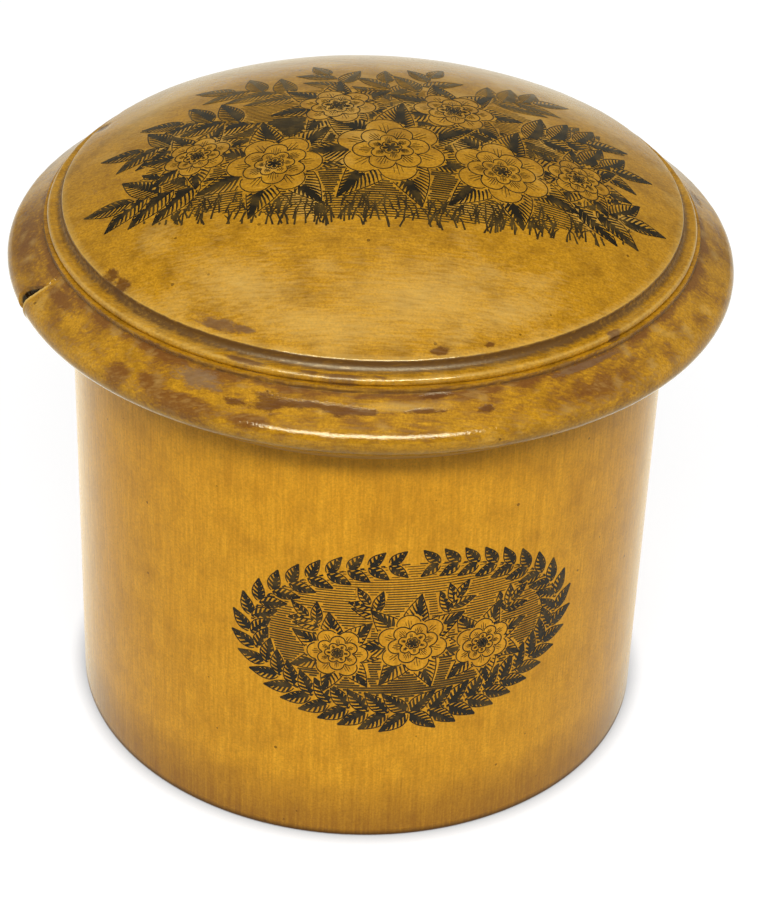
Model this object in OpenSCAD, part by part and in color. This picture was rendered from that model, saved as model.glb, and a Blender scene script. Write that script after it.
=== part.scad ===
// Turned wooden jar with a domed push-in lid.
// The jar stands on its foot ring at Z = 0, and every piece is turned about the Z axis.

/* [Jar] */
// Outside diameter of the jar
jar_d = 78.8; // [77:0.2:82]
// Height of the jar from its foot to its rim
jar_h = 62; // [40:0.1:100]
// Thickness of the jar's wall
wall_t = 4.4; // [3.6:0.1:6]
// Radius that softens the rim and the foot
soft_r = 0.4; // [0.2:0.1:0.8]

/* [Base] */
// Thickness of the base disc
base_t = 5; // [4:0.5:8]
// Height of the disc's underside above the foot
base_lift = 1; // [0.5:0.1:2]
// Width of the ledge that the disc is glued up against
ledge_w = 1.6; // [1:0.1:2]
// Bevel on the lower edge of the disc
base_bevel = 0.5; // [0.2:0.1:1]
// Gap for glue around the disc
glue_gap = 0.05; // [0.02:0.01:0.1]

/* [Lid] */
// Diameter over the lid's flange
lid_d = 95; // [93:0.5:99]
// Height of the lid from its seat to the crown of the dome
lid_h = 24.6; // [24.5:0.1:25.5]
// Diameter of the dome at its edge
dome_d = 80.6; // [80:0.1:81]
// Rise of the dome from its edge to its crown
dome_rise = 10.65; // [10.3:0.05:10.75]
// Radius on the edge of the dome
dome_edge_r = 0.4; // [0.2:0.1:0.5]
// Thickness of the wood between the dome and the hollow under it
crown_t = 6.5; // [5:0.1:7]

/* [Moulding] */
// Radius of the cove under the edge of the dome
cove_r = 1.05; // [0.9:0.05:1.15]
// Depth that the cove is let into the top of the bead
cove_sink = 0.05; // [0.02:0.01:0.1]
// Radius of the bead below the cove
bead_r = 0.6; // [0.5:0.05:0.65]
// Diameter over the bead
bead_d = 84.4; // [84:0.1:84.8]
// Height of the bead's middle above the seat
bead_z = 12; // [11.8:0.05:12.1]
// Diameter over the flat fillet below the bead
fillet_d = 85.3; // [85:0.1:85.6]
// Height of the fillet's top above the seat
fillet_z = 11.55; // [11.45:0.05:11.65]

/* [Flange] */
// Height of the flange above the seat, where it leaves the fillet
flange_z = 10.9; // [10.6:0.1:11.1]
// Radius of the nose that rounds the flange's edge
nose_r = 2; // [1.5:0.1:2.2]
// Height of the nose's middle above the seat
nose_z = 6.4; // [6:0.1:6.8]
// Width that the seat reaches out past the jar's wall
seat_lip = 1; // [0.5:0.1:1.5]

/* [Plug] */
// Depth that the plug reaches into the mouth of the jar
plug_h = 7; // [5:0.5:10]
// Thickness of the plug's wall
plug_t = 3; // [2.5:0.1:4]
// Gap between the plug and the mouth, on the radius
plug_gap = 0.12; // [0.05:0.01:0.3]
// Bevel that leads the plug into the mouth
plug_bevel = 0.8; // [0.4:0.1:1.5]

/* [Hidden] */
$fn = 180;

// Radii of the jar
jar_r = jar_d / 2;
mouth_r = jar_r - wall_t;
rebate_r = mouth_r + ledge_w;
floor_z = base_lift + base_t;

// Dome: a sphere that passes through the crown and the dome's edge
dome_r = dome_d / 2;
sphere_r = (dome_r * dome_r + dome_rise * dome_rise) / (2 * dome_rise);
sphere_z = lid_h - sphere_r;

// Round on the dome's edge: it touches the sphere from inside and the edge's upright
edge_x = dome_r - dome_edge_r;
edge_z = sphere_z + sqrt(pow(sphere_r - dome_edge_r, 2) - edge_x * edge_x);
edge_touch_x = edge_x * sphere_r / (sphere_r - dome_edge_r);

// Cove and bead: the cove starts under the dome's edge and runs out on top of the bead
bead_x = bead_d / 2 - bead_r;
cove_x = dome_r + cove_r;
cove_z = bead_z + bead_r + cove_r - cove_sink;
fillet_r = fillet_d / 2;

// Flange: one slope leaves the fillet, another leaves the seat, and both run into the nose
nose_x = lid_d / 2 - nose_r;
seat_r = jar_r + seat_lip;
top_touch = nose_touch(fillet_r, flange_z, 1);
under_touch = nose_touch(seat_r, 0, -1);

// Plug and the hollow inside it
plug_r = mouth_r - plug_gap;
hollow_r = plug_r - plug_t;

// Point where a straight line from a radius and height runs into the nose, over it or under it
function nose_touch(r, z, side) =
  let (
    run = nose_x - r,
    fall = side * (z - nose_z),
    angle = atan2(fall, run) - asin(nose_r / sqrt(run * run + fall * fall))
  )
  [nose_x + nose_r * sin(angle), nose_z + side * nose_r * cos(angle)];

// Upright bar between two radii, with its foot at z = 0 and all four edges rounded
module soft_bar(inner, outer, height, r) {
  translate([inner, r])
    square([outer - inner, height - 2 * r]);
  translate([inner + r, 0])
    square([outer - inner - 2 * r, height]);
  for (x = [inner + r, outer - r], z = [r, height - r])
    translate([x, z])
      circle(r);
}

// Half section of the dome and the wood under it
module dome_section() {
  intersection() {
    translate([0, sphere_z])
      circle(sphere_r);
    translate([0, nose_z])
      square([edge_touch_x, lid_h - nose_z]);
  }
  translate([0, nose_z])
    square([dome_r, edge_z - nose_z]);
  translate([edge_x, edge_z])
    circle(dome_edge_r);
}

// Half section of the cove, the bead and the fillet under it
module moulding_section() {
  difference() {
    translate([0, nose_z])
      square([cove_x, cove_z - nose_z]);
    translate([cove_x, cove_z])
      circle(cove_r);
  }
  translate([bead_x, bead_z])
    circle(bead_r);
  translate([0, nose_z])
    square([fillet_r, fillet_z - nose_z]);
}

// Half section of the wedge-shaped flange and its nose
module flange_section() {
  polygon([
    [0, 0],
    [seat_r, 0],
    under_touch,
    [nose_x, nose_z],
    top_touch,
    [fillet_r, flange_z],
    [0, flange_z]
  ]);
  translate([nose_x, nose_z])
    circle(nose_r);
}

// Half section of the plug, filled
module plug_section() {
  polygon([
    [0, -plug_h],
    [plug_r - plug_bevel, -plug_h],
    [plug_r, plug_bevel - plug_h],
    [plug_r, nose_z],
    [0, nose_z]
  ]);
}

// Half section of the hollow, which is dished like the dome above it
module hollow_section() {
  intersection() {
    translate([0, sphere_z])
      circle(sphere_r - crown_t);
    translate([0, -2 * plug_h])
      square([hollow_r, lid_h + 2 * plug_h]);
  }
}

// Turned wall of the jar, rebated at the foot for its base
module jar_wall() {
  color("#D9983F")
    rotate_extrude()
      difference() {
        soft_bar(mouth_r, jar_r, jar_h, soft_r);
        translate([0, -soft_r])
          square([rebate_r, floor_z + soft_r]);
      }
}

// Base disc, let into the foot and glued up against the ledge
module jar_base() {
  base_r = rebate_r - glue_gap;
  color("#C99A55")
    rotate_extrude()
      polygon([
        [0, base_lift],
        [base_r - base_bevel, base_lift],
        [base_r, base_lift + base_bevel],
        [base_r, floor_z],
        [0, floor_z]
      ]);
}

// Lid turned from one piece: dome, cove, bead, fillet, flange and plug
module lid() {
  color("#C07A2C")
    translate([0, 0, jar_h])
      rotate_extrude()
        difference() {
          union() {
            dome_section();
            moulding_section();
            flange_section();
            plug_section();
          }
          hollow_section();
        }
}

jar_wall();
jar_base();
lid();
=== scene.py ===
"""Looks of a small turned sycamore jar with a domed, moulded lid.

Every piece is made in metres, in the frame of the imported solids: the foot of the jar
stands on Z = 0 and the front of the jar faces -Y. The sizes of the pieces are written in
millimetres, and those of the studio round them in metres.
"""

import logging
import math
import random
from collections.abc import Callable, Sequence
from dataclasses import dataclass, field
from enum import Enum
from functools import partial
from typing import ClassVar

import bpy
import numpy as np
from mathutils import Matrix, Vector, noise


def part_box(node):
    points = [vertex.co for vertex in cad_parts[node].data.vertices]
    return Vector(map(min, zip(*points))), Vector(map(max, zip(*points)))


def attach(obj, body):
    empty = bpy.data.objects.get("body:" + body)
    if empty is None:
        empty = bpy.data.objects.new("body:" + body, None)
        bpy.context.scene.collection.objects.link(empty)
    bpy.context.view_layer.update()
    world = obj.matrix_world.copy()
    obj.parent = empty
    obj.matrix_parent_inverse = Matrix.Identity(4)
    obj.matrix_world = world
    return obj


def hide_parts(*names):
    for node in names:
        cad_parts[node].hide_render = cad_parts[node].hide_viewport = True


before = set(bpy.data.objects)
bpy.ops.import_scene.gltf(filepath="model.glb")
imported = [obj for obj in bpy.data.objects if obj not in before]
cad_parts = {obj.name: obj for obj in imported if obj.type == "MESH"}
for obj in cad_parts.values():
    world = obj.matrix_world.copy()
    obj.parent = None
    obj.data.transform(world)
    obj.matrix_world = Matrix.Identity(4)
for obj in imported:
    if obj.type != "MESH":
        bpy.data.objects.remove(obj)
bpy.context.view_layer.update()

LOG = logging.getLogger("jar")
MM = 0.001
FULL_TURN = 2 * math.pi
WELD = 0.001 * MM
CREASE = math.radians(38)

Point = tuple[float, float]
Node = bpy.types.Node
Piece = bpy.types.Object
AddNode = Callable[..., Node]


def hex_colour(code: str) -> tuple[float, float, float, float]:
    """Turn an sRGB hex colour into linear values for a shader.

    Args:
        code: six hex digits, such as "D6A03C".

    Returns:
        Linear red, green, blue and an alpha of 1.
    """
    linear = []
    for start in (0, 2, 4):
        level = int(code[start:start + 2], 16) / 255
        linear.append(level / 12.92 if level <= 0.04045 else ((level + 0.055) / 1.055) ** 2.4)
    return (*linear, 1.0)


def add_node(
    tree: bpy.types.NodeTree, kind: str, inputs: dict | None = None, **settings: object
) -> Node:
    """Add one node with its settings, and fill or link its inputs.

    Args:
        tree: the node tree that gets the node.
        kind: Blender's name for the node's type, after its ShaderNode.
        inputs: socket name or number to a value, a socket, or a node whose first output is meant.
        settings: properties of the node itself.

    Returns:
        The new node.
    """
    made = tree.nodes.new("ShaderNode" + kind)
    for name, value in settings.items():
        setattr(made, name, value)
    for key, value in (inputs or {}).items():
        entry = made.inputs[key] if isinstance(key, int) else next(
            socket for socket in made.inputs if socket.enabled and socket.name == key
        )
        if isinstance(value, Node):
            value = next(socket for socket in value.outputs if socket.enabled)
        if isinstance(value, bpy.types.NodeSocket):
            tree.links.new(value, entry)
        else:
            entry.default_value = value
    return made


def clear_nodes(owner: bpy.types.Material | bpy.types.World) -> AddNode:
    """Empty the node tree of a material or a world.

    Args:
        owner: what the nodes belong to.

    Returns:
        The function that adds a node to it.
    """
    owner.use_nodes = True
    owner.node_tree.nodes.clear()
    return partial(add_node, owner.node_tree)


def select_only(piece: Piece) -> None:
    """Deselect everything, then select one piece and make it active.

    Args:
        piece: the piece to select.
    """
    bpy.ops.object.select_all(action="DESELECT")
    piece.select_set(True)
    bpy.context.view_layer.objects.active = piece


def add_piece(mesh: bpy.types.Mesh) -> Piece:
    """Put a mesh into the scene as the one selected piece.

    Args:
        mesh: the mesh, which gives the piece its name.

    Returns:
        The new piece.
    """
    piece = bpy.data.objects.new(mesh.name, mesh)
    bpy.context.scene.collection.objects.link(piece)
    select_only(piece)
    return piece


def face_outwards(piece: Piece) -> None:
    """Turn all faces of a closed piece outwards.

    Args:
        piece: the piece to turn.
    """
    select_only(piece)
    bpy.ops.object.mode_set(mode="EDIT")
    bpy.ops.mesh.select_all(action="SELECT")
    bpy.ops.mesh.normals_make_consistent(inside=False)
    bpy.ops.object.mode_set(mode="OBJECT")


def arc(centre: Point, radius: float, start: float, end: float, steps: int) -> list[Point]:
    """Points along an arc.

    Args:
        centre: middle of the arc.
        radius: radius of the arc.
        start: angle of the first point, in degrees from the first axis.
        end: angle of the last point.
        steps: number of chords.

    Returns:
        One more point than there are chords.
    """
    turns = [math.radians(start + (end - start) * i / steps) for i in range(steps + 1)]
    return [(centre[0] + radius * math.cos(a), centre[1] + radius * math.sin(a)) for a in turns]


def chain(start: Point, *stops: tuple[float, float, int]) -> list[Point]:
    """Points along straight lines from stop to stop.

    Args:
        start: where the first line starts, which is left out.
        stops: where each line ends, and the number of steps to it.

    Returns:
        The points after the start, up to the last stop.
    """
    points = []
    x0, y0 = start
    for x, y, steps in stops:
        shares = [(i + 1) / steps for i in range(steps)]
        points += [(x0 + (x - x0) * share, y0 + (y - y0) * share) for share in shares]
        x0, y0 = x, y
    return points


def turn_on_lathe(name: str, profile: Sequence[Point], steps: int, closed: bool) -> Piece:
    """Turn a half section about Z into a closed piece.

    Args:
        name: the piece's name.
        profile: radius and height along the section, in millimetres.
        steps: number of faces around the piece.
        closed: whether the section's last point joins its first.

    Returns:
        The turned object, at the origin, with its place in its mesh.
    """
    count = len(profile)
    edges = [(i, i + 1) for i in range(count - 1)] + ([(count - 1, 0)] if closed else [])
    mesh = bpy.data.meshes.new(name)
    mesh.from_pydata([(r * MM, 0, z * MM) for r, z in profile], edges, [])
    piece = add_piece(mesh)
    lathe = piece.modifiers.new("lathe", "SCREW")
    lathe.axis, lathe.angle = "Z", FULL_TURN
    lathe.steps = lathe.render_steps = steps
    lathe.use_merge_vertices, lathe.merge_threshold = True, WELD
    bpy.ops.object.modifier_apply(modifier=lathe.name)
    bpy.ops.object.mode_set(mode="EDIT")
    bpy.ops.mesh.select_all(action="SELECT")
    bpy.ops.mesh.remove_doubles(threshold=WELD)
    bpy.ops.object.mode_set(mode="OBJECT")
    face_outwards(piece)
    return piece


def smooth(piece: Piece) -> None:
    """Shade a piece smooth, and keep its crisp corners."""
    select_only(piece)
    bpy.ops.object.shade_smooth_by_angle(angle=CREASE)


def vertex_values(piece: Piece, name: str) -> np.ndarray:
    """Read one thing of every vertex.

    Args:
        piece: the piece to read.
        name: "co" for the places, or "normal".

    Returns:
        Rows of x, y and z.
    """
    flat = np.empty(len(piece.data.vertices) * 3)
    piece.data.vertices.foreach_get(name, flat)
    return flat.reshape(-1, 3)


def put_attribute(piece: Piece, name: str, values: np.ndarray) -> None:
    """Store one number per vertex, for the finish to read."""
    layer = piece.data.attributes.new(name, "FLOAT", "POINT")
    layer.data.foreach_set("value", values.astype(np.float32))


def rumple(places: np.ndarray, size: float, seed: float) -> np.ndarray:
    """Smooth random heights over a surface.

    Args:
        places: points in millimetres.
        size: distance in millimetres from one bump to the next.
        seed: shift that makes one pattern differ from another.

    Returns:
        One value from about -1 to 1 for each point.
    """
    shift = Vector((seed, -seed, 2 * seed))
    return np.array([noise.noise(Vector(p) / size + shift) for p in places])


def ramp(values: np.ndarray, low: float, high: float) -> np.ndarray:
    """Rise smoothly from 0 at the low value to 1 at the high one."""
    share = np.clip((values - low) / (high - low), 0, 1)
    return share * share * (3 - 2 * share)


class Grain(Enum):
    """Which way the grain runs: the share of full fineness along X, Y and Z."""

    UPRIGHT = (1.0, 1.0, 0.05)
    ACROSS = (0.045, 1.0, 1.0)


@dataclass(frozen=True)
class VarnishedSycamore:
    """Turned sycamore under an old clear varnish with a warm gleam.

    The wood is pale and close, with fine streaks and short flecks along the grain, a fine grit and
    soft blotches. The varnish has gone amber, so it gives a deep golden colour with a gloss, and where
    it has flaked off the wood is dull and brown. Dirt lies dark in the hollows of the mouldings, shade
    is painted dark into their creases and round the foot, and a highlight is painted pale on crests.

    Each vertex may hold these numbers from 0 to 1: stain, brown staining together with painted shade;
    pale, a rubbed crest, some with a painted highlight; bare, where over a half is a flake of lost
    varnish; dust, how grey that flake is; grime, what is dirty in a hollow together with painted shade
    in creases and round a foot; split, painted shade in a crack; raw, wood that was waxed and never
    varnished. A speck's size is a share of the gap between specks.
    """

    name: str
    grain: Grain
    light: str
    amber: str
    brown: str
    stain_and_shade: str = "64361A"
    bare: str = "562A04"
    dusty: str = "77583A"
    pale: str = "D6B060"
    grime_and_shade: str = "4C2A02"
    dark: str = "24160A"
    gleam: str = "FFFAD4"
    raw: str = "B98A45"
    streak_mm: float = 0.36
    fleck_mm: float = 0.26
    fleck_share: float = 0.13
    grit_mm: float = 0.3
    blotch_mm: float = 5.0
    rag_mm: float = 0.85
    raggedness: float = 1.7
    speck_gap_mm: float = 3.4
    speck_size: float = 0.09
    speck_shade: float = 0.7
    pull_mm: float = 2.2
    ripple_mm: float = 0.35
    relief_mm: float = 0.045
    flake_step: float = 0.35
    turn_mm: float = 15.0
    streakiness: float = 0.9
    fleckiness: float = 0.4
    grittiness: float = 0.25
    blotchiness: float = 0.35
    ripple: float = 0.1
    gloss_roughness: float = 0.2
    matt_roughness: float = 0.75
    hollow_dullness: float = 0.55
    ior: float = 1.34

    def material(self) -> bpy.types.Material:
        """Build the finish.

        Returns:
            The node material.
        """
        made = bpy.data.materials.new(self.name)
        node = clear_nodes(made)
        place = node("TexCoord").outputs["Object"]
        in_mm = node("Mapping", {"Vector": place, "Scale": (1 / MM,) * 3})
        shares = tuple(max(share, self.fleck_share) for share in self.grain.value)
        short = node("Mapping", {"Vector": in_mm, "Scale": shares})
        wood = self.specks(node, in_mm, self.wood(node, in_mm, short))
        worn, layers = self.wear(node, in_mm, short, wood)
        shader = node(
            "BsdfPrincipled",
            {"Base Color": worn, "Roughness": self.roughness(node, layers), "IOR": self.ior,
             "Specular Tint": hex_colour(self.gleam), "Normal": self.relief(node, in_mm, layers)},
        )
        node("OutputMaterial", {"Surface": shader})
        return made

    def wood(self, node: AddNode, in_mm: Node, short: Node) -> Node:
        """Colour fine streaks and short flecks along the grain, fine grit, and soft blotches.

        Args:
            node: adds a node to the finish.
            in_mm: places on the piece in millimetres.
            short: the same places, drawn together along the grain.

        Returns:
            The colour of sound wood under the varnish.
        """
        along = node("Mapping", {"Vector": in_mm, "Scale": self.grain.value})
        colour = hex_colour(self.light)
        for vector, size, low, high, share, tint in (
            (along, self.streak_mm, 0.32, 0.68, self.streakiness, self.amber),
            (short, self.fleck_mm, 0.54, 0.72, self.fleckiness, self.brown),
            (in_mm, self.grit_mm, 0.4, 0.75, self.grittiness, self.brown),
            (in_mm, self.blotch_mm, 0.45, 0.75, self.blotchiness, self.brown),
        ):
            pattern = node(
                "TexNoise", {"Vector": vector, "Scale": 1 / size, "Detail": 4.0, "Roughness": 0.65}
            )
            amount = node(
                "MapRange", {"Value": pattern, "From Min": low, "From Max": high, "To Max": share}
            )
            colour = node("Mix", {"Factor": amount, "A": colour, "B": hex_colour(tint)}, data_type="RGBA")
        return colour

    def specks(self, node: AddNode, in_mm: Node, wood: Node) -> Node:
        """Put small dark spots in some of the cells of a scattered pattern.

        Args:
            node: adds a node to the finish.
            in_mm: places on the piece in millimetres.
            wood: the colour under the spots.

        Returns:
            The colour with its spots.
        """
        cells = node("TexVoronoi", {"Vector": in_mm, "Scale": 1 / self.speck_gap_mm})
        reach = node(
            "MapRange",
            {"Value": cells.outputs["Color"], "From Min": 0.3, "From Max": 1.0, "To Max": self.speck_size},
        )
        inside = node("Math", {0: cells.outputs["Distance"], 1: reach}, operation="LESS_THAN")
        shade = node("Math", {0: inside, 1: self.speck_shade}, operation="MULTIPLY")
        return node("Mix", {"Factor": shade, "A": wood, "B": hex_colour(self.grime_and_shade)}, data_type="RGBA")

    def wear(self, node: AddNode, in_mm: Node, short: Node, wood: Node) -> tuple[Node, dict[str, Node]]:
        """Lay each kind of wear in its place on the piece, with a ragged edge.

        Args:
            node: adds a node to the finish.
            in_mm: places on the piece in millimetres.
            short: the same places, drawn together along the grain.
            wood: the colour under the wear.

        Returns:
            The worn colour, and the share of each kind of wear by its name.
        """
        # The way round the axis is shortened, so a pattern on it runs along the turning
        flat = node("VectorMath", {0: in_mm, 1: (1.0, 1.0, 0.0)}, operation="MULTIPLY")
        away = node("VectorMath", {0: flat}, operation="LENGTH")
        facing = node("VectorMath", {0: flat}, operation="NORMALIZE")
        outward = node("CombineXYZ", {"Z": away})
        around = node(
            "VectorMath", {0: facing, 1: (self.turn_mm,) * 3, 2: outward}, operation="MULTIPLY_ADD"
        )
        rag = node(
            "TexNoise", {"Vector": around, "Scale": 1 / self.rag_mm, "Detail": 7.0, "Roughness": 0.75}
        )
        smear = node("TexNoise", {"Vector": short, "Scale": 1 / self.streak_mm, "Detail": 5.0})
        cloud = node("Mix", {"Factor": 0.5, "A": smear.outputs["Fac"], "B": rag.outputs["Fac"]})
        layers = {}
        for name, edge, torn, low, high, share, colour in (
            ("raw", smear, 0.3, 0.2, 0.9, 0.8, hex_colour(self.raw)),
            # Brown staining, with painted shade outside the lid's fillet and low on the jar's wall
            ("stain_and_shade", cloud, 1.0, 0.25, 0.63, 0.8, hex_colour(self.stain_and_shade)),
            # Pale rubbing, with a painted highlight along the lid's crests and nose
            ("pale", smear, 0.5, 0.05, 1.0, 0.8, hex_colour(self.pale)),
            ("bare", rag, 0.75, 0.42, 0.66, 0.85, self.flake(node, smear)),
            # Dirt in the lid's cove, with painted shade in its creases and round the jar's foot
            ("grime_and_shade", smear, 0.7, 0.25, 0.95, 0.92, hex_colour(self.grime_and_shade)),
            # Painted shade in the crack of the lid's flange
            ("split", rag, 0.2, 0.4, 0.6, 1.0, hex_colour(self.dark)),
        ):
            where = node("Attribute", attribute_name=name)
            shift = node(
                "MapRange", {"Value": edge, "To Min": -self.raggedness / 2, "To Max": self.raggedness / 2}
            )
            ragged = node("Math", {0: shift, 1: torn, 2: where.outputs["Fac"]}, operation="MULTIPLY_ADD")
            layers[name] = node(
                "MapRange", {"Value": ragged, "From Min": low, "From Max": high, "To Max": share}
            )
            wood = node("Mix", {"Factor": layers[name], "A": wood, "B": colour}, data_type="RGBA")
        return wood, layers

    def flake(self, node: AddNode, smear: Node) -> Node:
        """Colour wood that has lost its varnish, greyer where it is dusty.

        Args:
            node: adds a node to the finish.
            smear: the pattern that breaks up the dust.

        Returns:
            The colour of the flakes.
        """
        dust = node("Attribute", attribute_name="dust").outputs["Fac"]
        dusting = node("Math", {0: smear, 1: 1.6, 2: dust}, operation="MULTIPLY_ADD")
        dusty = node("MapRange", {"Value": dusting, "From Min": 0.8, "From Max": 1.9})
        return node(
            "Mix", {"Factor": dusty, "A": hex_colour(self.bare), "B": hex_colour(self.dusty)},
            data_type="RGBA",
        )

    def roughness(self, node: AddNode, layers: dict[str, Node]) -> Node:
        """Leave the varnish smooth, its flakes, dirty hollows and painted-shade creases a little dull, and
        wax matt.

        Args:
            node: adds a node to the finish.
            layers: the share of each kind of wear.

        Returns:
            The roughness.
        """
        dust = node("Attribute", attribute_name="dust").outputs["Fac"]
        dry = node("MapRange", {"Value": dust, "To Min": 0.2, "To Max": 0.7})
        dull = layers["raw"]
        for name, dullness in (("bare", dry), ("grime_and_shade", self.hollow_dullness)):
            more = node("Math", {0: layers[name], 1: dullness}, operation="MULTIPLY")
            dull = node("Math", {0: dull, 1: more}, operation="MAXIMUM")
        return node(
            "MapRange", {"Value": dull, "To Min": self.gloss_roughness, "To Max": self.matt_roughness}
        )

    def relief(self, node: AddNode, in_mm: Node, layers: dict[str, Node]) -> Node:
        """Let the varnish pull unevenly as it dries, ripple, and end at each flake.

        Args:
            node: adds a node to the finish.
            in_mm: places on the piece in millimetres.
            layers: the share of each kind of wear.

        Returns:
            The bumped normal.
        """
        pull = node(
            "TexNoise", {"Vector": in_mm, "Scale": 1 / self.pull_mm, "Detail": 4.0, "Roughness": 0.6}
        )
        ripple = node("TexNoise", {"Vector": in_mm, "Scale": 1 / self.ripple_mm, "Detail": 2.0})
        height = pull
        for pattern, share in ((ripple, self.ripple), (layers["bare"], -self.flake_step)):
            height = node("Math", {0: pattern, 1: share, 2: height}, operation="MULTIPLY_ADD")
        return node("Bump", {"Strength": 1.0, "Distance": self.relief_mm * MM, "Height": height})


@dataclass(frozen=True)
class PrintersInk:
    """Black oil ink laid down by transfer and varnished over.

    Full ink is a warm black, and thin ink lets the golden wood show through as an olive brown.
    Both take the gloss and the slow waves of the varnish above them. Each face holds its tone,
    from 0 for full ink to 1 for the thinnest.
    """

    name: str = "printers_ink_transferred"
    full: str = "1C170D"
    thin: str = "8A6A26"
    patch_mm: float = 2.0
    rubbing: float = 0.35
    pull_mm: float = 2.2
    relief_mm: float = 0.04
    roughness: float = 0.24
    ior: float = 1.34

    def material(self) -> bpy.types.Material:
        """Build the finish.

        Returns:
            The node material.
        """
        made = bpy.data.materials.new(self.name)
        node = clear_nodes(made)
        place = node("TexCoord").outputs["Object"]
        in_mm = node("Mapping", {"Vector": place, "Scale": (1 / MM,) * 3})
        tone = node("Attribute", attribute_name="tone")
        patch = node("TexNoise", {"Vector": in_mm, "Scale": 1 / self.patch_mm, "Detail": 5.0})
        rubbed = node(
            "MapRange", {"Value": patch, "From Min": 0.45, "From Max": 0.8, "To Max": self.rubbing}
        )
        share = node("Math", {0: tone.outputs["Fac"], 1: rubbed}, operation="ADD", use_clamp=True)
        colour = node(
            "Mix",
            {"Factor": share, "A": hex_colour(self.full), "B": hex_colour(self.thin)},
            data_type="RGBA",
        )
        pull = node(
            "TexNoise", {"Vector": in_mm, "Scale": 1 / self.pull_mm, "Detail": 3.0, "Roughness": 0.55}
        )
        relief = node("Bump", {"Strength": 1.0, "Distance": self.relief_mm * MM, "Height": pull})
        shader = node(
            "BsdfPrincipled",
            {"Base Color": colour, "Roughness": self.roughness, "IOR": self.ior, "Normal": relief},
        )
        node("OutputMaterial", {"Surface": shader})
        return made


class Pen:
    """Draws fine strokes of ink, in millimetres, and lays them on a turned surface.

    Shapes drawn earlier stand in front: a later stroke stops where one of them covers it.
    """

    def __init__(self) -> None:
        """Start with a clean sheet and full ink."""
        self.points: list[Point] = []
        self.faces: list[list[int]] = []
        self.tones: list[float] = []
        self.fronts: list[Leaf | Flower] = []
        self.tone = 0.0
        self.step = 0.55
        self.margin = 0.1

    def stroke(self, path: Sequence[Point], widths: Sequence[float]) -> None:
        """Ink the parts of a line that nothing drawn earlier covers.

        Args:
            path: places that the line passes through.
            widths: the line's width at each of them.
        """
        run: list[tuple[float, float, float]] = []
        for i in range(len(path) - 1):
            (x0, y0), (x1, y1) = path[i], path[i + 1]
            count = max(math.ceil(math.hypot(x1 - x0, y1 - y0) / self.step), 1)
            for k in range(count + (i == len(path) - 2)):
                s = k / count
                x, y = x0 + (x1 - x0) * s, y0 + (y1 - y0) * s
                if any(front.covers(x, y, self.margin) for front in self.fronts):
                    self.band(run)
                    run = []
                else:
                    run.append((x, y, widths[i] + (widths[i + 1] - widths[i]) * s))
        self.band(run)

    def band(self, run: Sequence[tuple[float, float, float]]) -> None:
        """Ink one unbroken piece of a stroke.

        Args:
            run: x, y and width at each point of the piece.
        """
        first, last = len(self.points), len(run) - 1
        for i, (x, y, width) in enumerate(run if last > 0 else ()):
            (x1, y1, _), (x0, y0, _) = run[min(i + 1, last)], run[max(i - 1, 0)]
            scale = width / 2 / max(math.hypot(x1 - x0, y1 - y0), 1e-6)
            dx, dy = (x1 - x0) * scale, (y1 - y0) * scale
            self.points += [(x - dy, y + dx), (x + dy, y - dx)]
            if i:
                a = first + 2 * i
                self.faces.append([a - 2, a - 1, a + 1, a])
                self.tones.append(self.tone)

    def lay(self, name: str, wrap: Callable[[Point], Vector], thickness: float) -> Piece:
        """Wrap the drawing on a surface as a thin film.

        Args:
            name: the piece's name.
            wrap: turns a point of the drawing into a place in millimetres.
            thickness: thickness of the film in millimetres.

        Returns:
            The film, with its place in its mesh.
        """
        mesh = bpy.data.meshes.new(name)
        mesh.from_pydata([wrap(p) * MM for p in self.points], [], self.faces)
        layer = mesh.attributes.new("tone", "FLOAT", "FACE")
        layer.data.foreach_set("value", self.tones)
        piece = add_piece(mesh)
        film = piece.modifiers.new("film", "SOLIDIFY")
        film.thickness = thickness * MM
        film.offset = 0
        bpy.ops.object.modifier_apply(modifier=film.name)
        face_outwards(piece)
        return piece


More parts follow.
